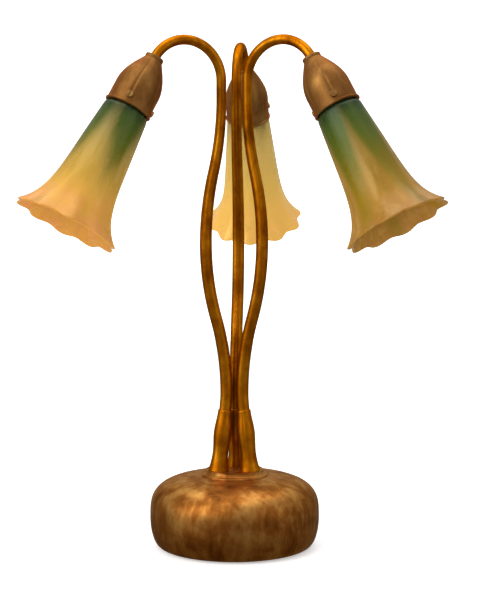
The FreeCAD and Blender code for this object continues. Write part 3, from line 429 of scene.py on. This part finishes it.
KEPT = {    # the nodes that wear each material
    "brass": on_each_arm("bulb_cap", "socket_shell", "socket_cap") + ["centre_contacts", "terminal_screws"],
    "aged": on_each_arm("shade_screws") + ["cord_bush_nut", "switch_bush", "switch_shaft"],
    "porcelain": on_each_arm("socket_body") + ["junction_block", "bulb_mounts"],
    "felt": ["felt_pad"],
    "steel": ["base_plate", "base_plate_screws", "ballast_screws", "junction_screw", "husk_nuts",
              "stem_locknuts", "stem_washers"],
    "iron": ["ballast_disc"],
    "black": ["switch_body", "switch_rotor"],
    "wire": on_each_arm("stem_wire") + ["switch_leads"],
}
for material, names in KEPT.items():
    for node_name in names:
        node = NODES[node_name]
        if not node.material_slots:
            node.data.materials.append(M[material])
        for material_slot in node.material_slots:
            material_slot.material = M[material]


# ------------------------------------------------------------------------------ shades
RIM_RADIUS, RIM_WAVE, PETALS = 40.4, 2.4, 10
SHADE_START, SHADE_LENGTH, WALL = 47.5, 91.5, 2.0
SHOULDER, TAPER, FLARE, FLARE_POWER = 17.2, 9.5, 13.7, 7.0


def shade_profile(t):
    return SHOULDER + TAPER * t + FLARE * t ** FLARE_POWER, SHADE_START + SHADE_LENGTH * t


def shade_rings(around=200):
    """Outer and inner surface of one shade, with a fire-rounded, ruffled rim."""
    angles = ring_angles(around)
    trough = (1 - np.cos(PETALS * angles)) / 2
    fine = np.linspace(0.8, 1.0, 400)
    end = np.interp(RIM_RADIUS - 0.75 - RIM_WAVE * trough, shade_profile(fine)[0], fine)

    def at(share, inward, bulge=0.0):
        """Points a distance inward from the outer surface, and past its end by bulge."""
        t = share * end
        r, s = shade_profile(t)
        slope = (TAPER + FLARE * FLARE_POWER * t ** (FLARE_POWER - 1), np.full_like(t, SHADE_LENGTH))
        length = np.hypot(*slope)
        dr, ds = slope[0] / length, slope[1] / length
        rib = 0.55 * eased((share - 0.25) / 0.6) * trough
        ruffle = 1.1 * max(share - 0.72, 0.0) / 0.28
        inward = inward + rib + ruffle * ruffle * 0.9 * trough
        r = r - inward * ds + bulge * dr
        s = s + inward * dr + bulge * ds
        return np.stack([r * np.cos(angles), r * np.sin(angles), s], 1)

    def circle(r, s):
        return np.stack([r * np.cos(angles), r * np.sin(angles), np.full(around, s)], 1)

    rows = 1 - (1 - np.linspace(0, 1, 46)) ** 1.35
    rings = [circle(r, s) for r, s in
             ((12.7, 25.01), (14.0, 25.01), (15.1, 25.05), (15.3, 25.25), (15.3, 27.2), (15.1, 27.6),
              (14.7, 28.2), (14.7, 36.0), (14.7, 42.6), (14.9, 43.2), (15.7, 43.8), (16.5, 44.8),
              (17.0, 46.1))]
    rings += [at(k, 0.0) for k in rows]
    rim = WALL * 0.8
    for a in np.linspace(90, -90, 9)[1:-1]:
        a = math.radians(a)
        rings.append(at(1.0, rim / 2 * (1 - math.sin(a)), rim / 2 * math.cos(a)))
    rings += [at(k, WALL - (WALL - rim) * eased((k - 0.7) / 0.3)) for k in rows[::-1]]
    rings += [circle(r, s) for r, s in ((14.9, 47.2), (14.0, 45.6), (13.1, 44.2), (12.7, 43.3),
                                        (12.7, 32.0))]
    return rings


SHADE = shade_rings()
for side, azimuth in AZIMUTHS.items():
    shade = make(f"tulip_shade_{side}", SHADE, head_place(azimuth), loop=True, sharp=60.0)
    wear(shade, M["shade_" + side], replaces=["shade_" + side])


# ------------------------------------------------------------------------------- husks
HUSK_COLLAR, HUSK_MOUTH = 7.0, 17.0         # radii
HUSK_SHOULDER, HUSK_WIDEN, HUSK_END = 2.0, 25.0, 43.0
HUSK_WALL, HUSK_BEAD, HUSK_SEAT, HUSK_BORE = 1.4, 0.9, 4.4, 3.85


def husk_outline():
    widen = HUSK_MOUTH - HUSK_COLLAR
    inside = HUSK_MOUTH - HUSK_WALL
    swell = [(HUSK_COLLAR + widen * math.sin(math.radians(90 * t)), HUSK_SHOULDER + HUSK_WIDEN * t)
             for t in np.linspace(0, 1, 24)]
    bead = [(HUSK_MOUTH + HUSK_BEAD * math.sin(a), HUSK_END - HUSK_BEAD * (1 + math.cos(a)))
            for a in np.linspace(0, math.pi, 9)]
    inner = []
    for t in np.linspace(0.98, 0.1, 14):
        a = math.radians(90 * t)
        slope = (widen * math.cos(a) * math.pi / 2, HUSK_WIDEN)
        length = math.hypot(*slope)
        inner.append((HUSK_COLLAR + widen * math.sin(a) - HUSK_WALL * slope[1] / length,
                      max(HUSK_SHOULDER + HUSK_WIDEN * t + HUSK_WALL * slope[0] / length, HUSK_SEAT)))
    collar = [(HUSK_BORE, -1.0), (6.5, -1.0), (6.85, -0.85), (7.0, -0.5), (7.0, 1.2), (6.8, 1.6)]
    wall = [(HUSK_MOUTH, z) for z in (28.6, 30.0, 32.0, 34.0, 36.0, 38.0, 39.5, 40.6)]
    return (collar + swell[1:] + wall + bead + [(inside, HUSK_END), (inside, 28.4)] + inner
            + [(6.4, HUSK_SEAT), (HUSK_BORE, HUSK_SEAT)])


def husk_shape(r, z, angle, i):
    """Six soft grooves that fade out at the collar and under the bead."""
    groove = np.exp(-(np.sin(3 * angle) / 0.16) ** 2)
    fade = eased((z - 3.0) / 9.0) * eased((40.8 - z) / 5.0)
    return r - (0.45 * fade * groove if 5 < i < 37 else 0.0), z


HUSK = turned(husk_outline(), 180, husk_shape)
for side, azimuth in AZIMUTHS.items():
    husk = make(f"shade_husk_{side}", HUSK, head_place(azimuth), loop=True, sharp=35.0)
    wear(husk, M["husk"], replaces=["husk_" + side])


# ------------------------------------------------------------------------------- stems
STEM_FOOT, ROOT_BEND_RADIUS = 31.12, 90.0
BULGE_HEIGHT, BULGE_RISE, BULGE_OUT = 231.0, 113.0, 17.0
NECK_HEIGHT, NECK_RISE, NECK_IN = 337.0, 106.0, 13.0
NECK_RUN, ARCH_RADIUS, TIP_RUN = 14.5, 29.0, 11.0


def stem_path():
    """From the tube's foot under the crown, up the root, over the bends and into the husk."""
    lean = math.radians(ROOT_LEAN)
    foot = (ROOT_BEND[0] + math.tan(lean) * (ROOT_BEND[1] - STEM_FOOT), 0.0, STEM_FOOT)
    up = 2 * math.degrees(math.atan(BULGE_OUT / BULGE_RISE))
    back = 2 * math.degrees(math.atan(NECK_IN / NECK_RISE))
    bow = BULGE_RISE / (2 * math.sin(math.radians(up)))
    draw = NECK_RISE / (2 * math.sin(math.radians(back)))
    return path_points(foot, -lean, [
        ("run", (ROOT_BEND[1] - STEM_FOOT) / math.cos(lean)), ("arc", ROOT_BEND_RADIUS, ROOT_LEAN),
        ("arc", bow, up), ("arc", bow, -up), ("arc", draw, -back), ("arc", draw, back),
        ("run", NECK_RUN), ("arc", ARCH_RADIUS, HEAD_LEAN), ("run", TIP_RUN)])


points, headings = stem_path()


def tube_radius(i):
    """Constant up to the bulge, tapered to the neck, constant again from there."""
    return np.interp(points[i].z, (BULGE_HEIGHT, NECK_HEIGHT), (TUBE_RADIUS, TUBE_TIP_RADIUS))


outer = swept(points, headings, tube_radius, 40)
inner = swept(points, headings, TUBE_BORE, 40)
for side, azimuth in AZIMUTHS.items():
    stem = make(f"lily_stem_{side}", outer + inner[::-1], about_z(azimuth), loop=True, sharp=50.0)
    wear(stem, M["stem"], replaces=["stem_" + side])


# ---------------------------------------------------------------------------- root cups
CUP_FOOT, CUP_NECK, CUP_BELLY, CUP_TOP, CUP_BORE = 7.8, 6.0, 6.8, 5.3, 4.68     # radii
CUP_NECK_AT, CUP_BELLY_AT, CUP_HEIGHT = 14.0, 28.0, 46.0


def cup_radius(height):
    if height < CUP_NECK_AT:
        return CUP_NECK + (CUP_FOOT - CUP_NECK) * (1 - height / CUP_NECK_AT) ** 2
    if height < CUP_BELLY_AT:
        share = (height - CUP_NECK_AT) / (CUP_BELLY_AT - CUP_NECK_AT)
        return CUP_NECK + (CUP_BELLY - CUP_NECK) * float(eased(share))
    share = (height - CUP_BELLY_AT) / (CUP_HEIGHT - CUP_BELLY_AT)
    return CUP_BELLY - (CUP_BELLY - CUP_TOP) * float(eased(share))


def cup_shape(r, z, angle, i):
    """Shallow grooves down the bud, deepest at its belly."""
    groove = np.exp(-(np.sin(2.5 * angle) / 0.22) ** 2)
    depth = 0.35 * eased((z - 3.0) / 20.0) * eased((45.5 - z) / 12.0)
    return r - np.where(r > 4.8, depth * groove, 0.0), z


cup = [(CUP_BORE, -0.6)] + [(cup_radius(max(h, 0.0)), h) for h in np.linspace(-0.6, 45.4, 48)]
cup += [(5.15, 45.85), (4.9, CUP_HEIGHT), (CUP_BORE, CUP_HEIGHT)]
CUP = turned(cup, 80, cup_shape)
for side, azimuth in AZIMUTHS.items():
    bud = make(f"root_bud_{side}", CUP, root_place(azimuth), loop=True, sharp=50.0)
    wear(bud, M["stem"], replaces=["root_cup_" + side])

# -------------------------------------------------------------------------------- base
MOUND_RADIUS, MOUND_FOOT = 25.4, 53.0
mound = [(0.0, MOUND_FOOT), (MOUND_RADIUS, MOUND_FOOT), (MOUND_RADIUS, 55.1), (25.3, 55.45),
         (25.05, 55.7)]
for share in np.linspace(0.1, 1.0, 10):
    angle = math.radians(90 * share)
    mound.append((25.0 - 3.2 * math.sin(angle), 55.75 + 3.1 * (1 - math.cos(angle))))
mound += [(21.5, ROOT_TOP), (0.0, ROOT_TOP)]
plate = make("root_mound", turned(mound, 160), sharp=40.0)
wear(plate, M["base"], replaces=["root_plate"])


BELLY_RADIUS, BELLY_HEIGHT, FOOT_TUCK, FOOT_DROP, CROWN_RISE = 64.3, 23.0, 8.3, 22.0, 32.0
CROWN_POWER = 2 / 3.4                       # a superellipse, squarer than an ellipse
BASE_WALL = 3.0


def cushion(t):
    """The base's outer side: t = -1 at the foot, 0 at the belly and 1 in the crown's middle."""
    if t < 0:
        a = math.radians(-90 * t)
        return BELLY_RADIUS - FOOT_TUCK * (1 - math.cos(a)), BELLY_HEIGHT - FOOT_DROP * math.sin(a)
    a = math.radians(90 * t)
    return (BELLY_RADIUS * math.cos(a) ** CROWN_POWER,
            BELLY_HEIGHT + CROWN_RISE * math.sin(a) ** CROWN_POWER)


def base_outline():
    side = [cushion(t) for t in np.linspace(-0.97, 0, 22)]
    side += [cushion(t) for t in np.concatenate([np.linspace(0.004, 0.12, 12),
                                                 np.linspace(0.13, 0.871, 52)])]
    outside = [(53.2, 1.0), (55.2, 1.0), (55.8, 1.15)] + side + [(25.45, 54.55), (25.45, MOUND_FOOT)]
    inside = []
    for t in np.concatenate([np.linspace(0.8, 0.06, 30), np.linspace(-0.06, -0.9, 12)]):
        (r0, z0), (r1, z1), (r, z) = cushion(t - 1e-4), cushion(t + 1e-4), cushion(t)
        length = math.hypot(r1 - r0, z1 - z0)
        inside.append((r - BASE_WALL * (z1 - z0) / length, z + BASE_WALL * (r1 - r0) / length))
    return outside + [(0.0, MOUND_FOOT), (0.0, 47.0), (27.0, 47.0), (27.0, 50.8)] + inside


shell = make("cushion_base", turned(base_outline(), 256), loop=True, sharp=40.0)
for name, azimuth, radius in (("inlet", INLET_AZIMUTH, 7.9), ("switch", SWITCH_AZIMUTH, 7.2)):
    disc = [(0.0, 0.0), (radius, 0.0), (radius, 6.0), (0.0, 6.0)]
    cutter = make(f"spot_face_{name}", turned(disc, 96), back_place(azimuth))
    cut = shell.modifiers.new(name, "BOOLEAN")
    cut.operation, cut.solver, cut.object = "DIFFERENCE", "EXACT", cutter
    graph = bpy.context.evaluated_depsgraph_get()
    shell.data = bpy.data.meshes.new_from_object(shell.evaluated_get(graph))
    shell.modifiers.clear()
    bpy.data.objects.remove(cutter)
shell.data.set_sharp_from_angle(angle=math.radians(40))
shell.data.materials.clear()
wear(shell, M["base"], replaces=["base_shell"])


# ------------------------------------------------------------------------------- bulbs
BULB_RADIUS, BULB_NECK, BULB_WALL = 10.2, 5.4, 0.7
BULB_START, BULB_SWELL, BULB_TIP_START = 35.2, 23.0, 71.0


def bulb_side(wall):
    """From the neck over the swell to a round tip, or the same a wall inside."""
    radius = BULB_RADIUS - wall
    widen = BULB_RADIUS - BULB_NECK
    swell = [(BULB_NECK - wall + widen * math.sin(math.radians(90 * t)), BULB_START + BULB_SWELL * t)
             for t in np.linspace(0, 1, 18)]
    return swell + [(radius * math.cos(a), BULB_TIP_START + radius * math.sin(a))
                    for a in np.linspace(0, math.pi / 2, 16)]


bulb, bulb_inside = bulb_side(0.0), bulb_side(BULB_WALL)
BULB = turned(bulb + bulb_inside[::-1], 72)
for side, azimuth in AZIMUTHS.items():
    glass = make(f"bulb_envelope_{side}", BULB, head_place(azimuth), loop=True, sharp=60.0)
    wear(glass, M["bulb"], replaces=["bulb_glass_" + side])

# ------------------------------------------------------------------- back of the base
flange = rounded([(3.6, -9.0), (5.5, -9.0), (5.5, 0.0), (7.5, 0.0), (7.5, 2.5), (3.6, 2.5)], 0.9, 5)
bush = make("inlet_bush", turned(flange, 96), back_place(INLET_AZIMUTH), loop=True, sharp=50.0)
wear(bush, M["aged"], replaces=["cord_bush"])


def knurl(r, z, angle, i):
    return np.where(r > 6.3, r - 0.16 * (1 + np.cos(36 * angle)) / 2, r), z


ring = rounded([(4.52, 0.0), (6.8, 0.0), (6.8, 2.6), (4.52, 2.6)], 0.45, 3)
nut = make("switch_ring", turned(ring, 216, knurl), back_place(SWITCH_AZIMUTH), loop=True, sharp=60.0)
wear(nut, M["aged"], replaces=["switch_ring_nut"])


def key_rings():
    """A flat oval key: ovals stacked through its thickness, with rounded edges."""
    angles = ring_angles(72)
    levels = [(10.0, 1.2), (4.0, 1.2), (1.6, 1.5), (0.9, 1.45), (0.35, 1.1), (0.05, 0.5)]
    levels = [(inset, -y) for inset, y in levels] + [(0.0, 0.0)] + levels[::-1]
    return [np.stack([(10.0 - inset) * np.cos(angles), np.full(72, y),
                      15.1 + (5.0 - inset / 2) * np.sin(angles)], 1) for inset, y in levels]


key = make("switch_key_plate", key_rings(), back_place(SWITCH_AZIMUTH), sharp=60.0)
hub_outline = rounded([(1.6, 6.1), (3.4, 6.1), (3.4, 11.1), (0.0, 11.1), (0.0, 10.1), (1.6, 10.1)],
                      0.5, 4)
hub = make("switch_key_hub", turned(hub_outline, 72), back_place(SWITCH_AZIMUTH), loop=True, sharp=50.0)
wear(key, M["aged"], KEY_BODY, ["switch_paddle"])
wear(hub, M["aged"], KEY_BODY, ["switch_paddle"])


# ------------------------------------------------------------------------------- stage
def stage_sheet(name, profile, glow):
    """A pale sheet of the studio: profile, as (radius, height) in mm, turned round the lamp."""
    sides = 96
    turns = [(math.cos(a), math.sin(a)) for a in ring_angles(sides)]
    verts = [(radius * x * MM, radius * y * MM, z * MM) for radius, z in profile for x, y in turns]
    faces = [(row * sides + i, row * sides + (i + 1) % sides,
              (row + 1) * sides + (i + 1) % sides, (row + 1) * sides + i)
             for row in range(len(profile) - 1) for i in range(sides)]
    mesh = bpy.data.meshes.new(name)
    mesh.from_pydata(verts, [], faces)
    for polygon in mesh.polygons:
        polygon.use_smooth = True
    sheet = bpy.data.objects.new(name, mesh)
    bpy.context.scene.collection.objects.link(sheet)
    s = Shader(name)
    tone = s.noise(s.place(), 6.0, 2.0, 0.5)
    s.set(Base_Color=s.ramp(tone, (0.0, (0.86, 0.86, 0.86)), (1.0, (0.9, 0.9, 0.9))), Roughness=0.9,
          Emission_Color=(1.0, 1.0, 1.0, 1.0), Emission_Strength=glow)
    mesh.materials.append(s.material)
    sheet.visible_glossy = False
    return sheet


def soft_light(name, place, target, size, power):
    data = bpy.data.lights.new(name, "AREA")
    data.shape, data.size, data.size_y = "RECTANGLE", size[0], size[1]
    data.energy = power
    light = bpy.data.objects.new(name, data)
    bpy.context.scene.collection.objects.link(light)
    light.location = place
    light.visible_camera = False
    light.rotation_euler = (Vector(target) - Vector(place)).to_track_quat("-Z", "Y").to_euler()
    return light


FLOOR_RADIUS, WALL_RADIUS, WALL_BEND, WALL_HEIGHT = 1500.0, 2900.0, 500.0, 2600.0
stage_sheet("pale_floor", [(1.0, 0.0), (FLOOR_RADIUS, 0.0)], 0.45)
bend = [(WALL_RADIUS - WALL_BEND * (1.0 - math.sin(a)), WALL_BEND * (1.0 - math.cos(a)))
        for a in np.linspace(0, math.pi / 2, 24)]
wall = stage_sheet("pale_wall", [(FLOOR_RADIUS, 0.0)] + bend + [(WALL_RADIUS, WALL_HEIGHT)], 1.0)
wall.visible_diffuse = wall.visible_shadow = False

LAMP_MIDDLE = (0.0, 0.0, 0.2)               # metres, as are the lights' places and sizes
soft_light("key_light", (-1.3, -1.2, 1.25), LAMP_MIDDLE, (1.5, 1.3), 18.5)
soft_light("fill_light", (1.5, -1.1, 0.6), LAMP_MIDDLE, (1.0, 1.4), 2.2)
soft_light("side_light", (-1.6, -0.7, 0.35), LAMP_MIDDLE, (0.8, 0.8), 3.0)
soft_light("top_light", (0.0, 0.2, 1.9), LAMP_MIDDLE, (2.0, 2.0), 24.0)


def studio_world(levels):
    """A grey studio sky: levels gives (height share from nadir to zenith, brightness)."""
    world = bpy.data.worlds.new("studio")
    bpy.context.scene.world = world
    world.use_nodes = True
    tree = world.node_tree
    direction = tree.nodes.new("ShaderNodeTexCoord").outputs["Generated"]
    parts = tree.nodes.new("ShaderNodeSeparateXYZ")
    share = tree.nodes.new("ShaderNodeMath")
    share.operation = "MULTIPLY_ADD"
    share.inputs[1].default_value = share.inputs[2].default_value = 0.5
    ramp = tree.nodes.new("ShaderNodeValToRGB")
    elements = ramp.color_ramp.elements
    while len(elements) < len(levels):
        elements.new(1.0)
    for element, (stop, level) in zip(elements, levels):
        element.position, element.color = stop, (level, level, level, 1.0)
    tree.links.new(direction, parts.inputs[0])
    tree.links.new(parts.outputs["Z"], share.inputs[0])
    tree.links.new(share.outputs[0], ramp.inputs[0])
    tree.links.new(ramp.outputs["Color"], tree.nodes["Background"].inputs["Color"])


studio_world([(0.0, 0.24), (0.44, 0.28), (0.60, 0.48), (1.0, 0.60)])
scene = bpy.context.scene
scene.view_settings.view_transform = "Standard"

CAMERA_TILT, CAMERA_DISTANCE = math.radians(4.2), 1102.0
AIM_X, AIM_HEIGHT = 4.1, 190.0              # the middle of the picture, at the lamp's axis
MM_PER_PIXEL, PICTURE_HEIGHT, SENSOR = 0.755, 594.0, 36.0
camera_data = bpy.data.cameras.new("camera")
camera_data.sensor_width = SENSOR
camera_data.lens = SENSOR * (CAMERA_DISTANCE / MM_PER_PIXEL) / PICTURE_HEIGHT
camera = bpy.data.objects.new("camera", camera_data)
scene.collection.objects.link(camera)
camera.location = Vector((AIM_X, -CAMERA_DISTANCE * math.cos(CAMERA_TILT),
                          AIM_HEIGHT + CAMERA_DISTANCE * math.sin(CAMERA_TILT))) * MM
camera.rotation_euler = (math.radians(90) - CAMERA_TILT, 0.0, 0.0)
scene.camera = camera
